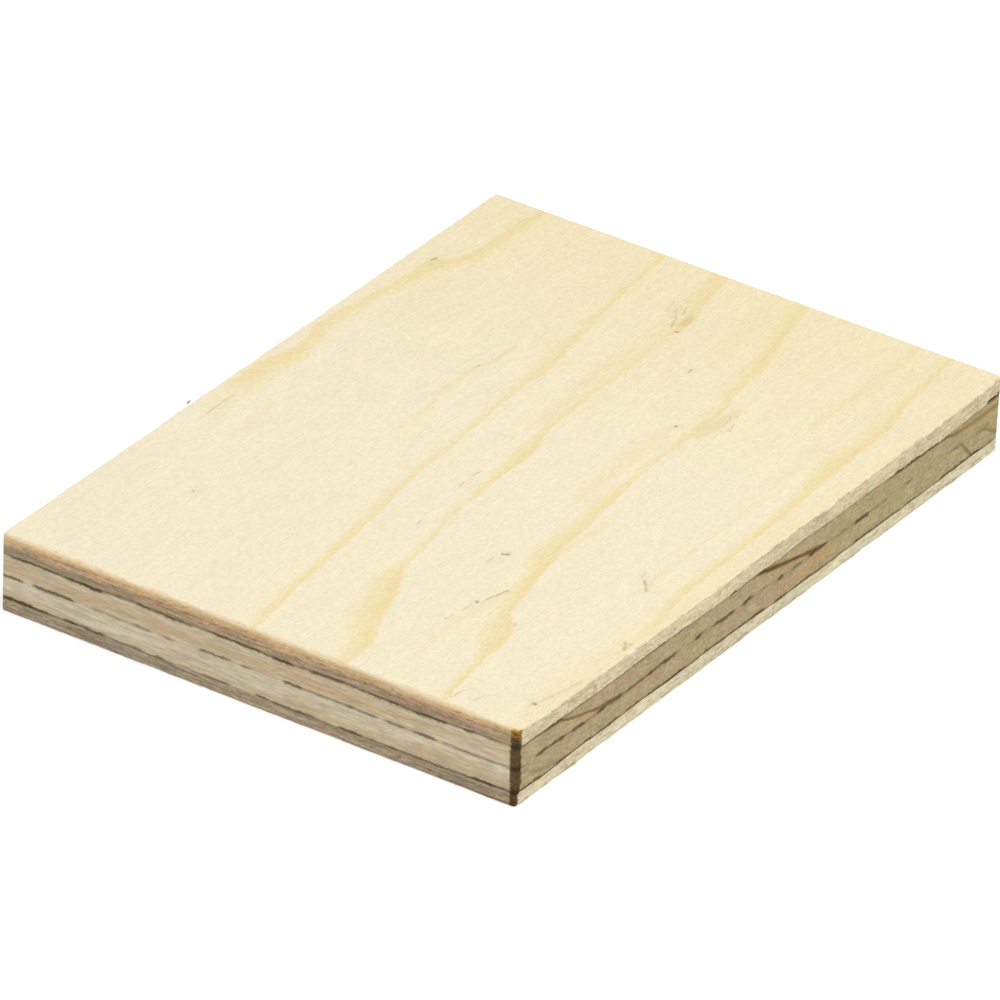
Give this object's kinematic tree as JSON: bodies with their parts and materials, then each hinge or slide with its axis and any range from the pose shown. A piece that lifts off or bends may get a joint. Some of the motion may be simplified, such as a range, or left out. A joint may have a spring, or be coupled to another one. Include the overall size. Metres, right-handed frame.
{
  "type": "plywood sheet",
  "caption": "Small rectangular sheet of softwood plywood with a pale sanded face, crossed core veneers and sawn edges that show the plies and glue lines; flat stock for panels and linings.",
  "frame": {"origin": "middle of the back face, on the surface that the sheet lies on", "axes": "+X along the length and the grain of the face and back veneers, +Y across that grain, +Z through the thickness towards the sanded face"},
  "size_m": [0.148, 0.106, 0.015],
  "materials": {
    "sanded_face_veneer": "sanded, unfinished pine",
    "core_veneer": "sawn, unfinished softwood",
    "back_veneer": "rough, unfinished pine"
  },
  "bodies": {
    "root": {"face_veneer": "sanded_face_veneer", "upper_core_veneer": "core_veneer", "lower_core_veneer": "core_veneer", "lower_core_end_strip": "core_veneer", "back_veneer": "back_veneer"}
  },
  "joints": []
}
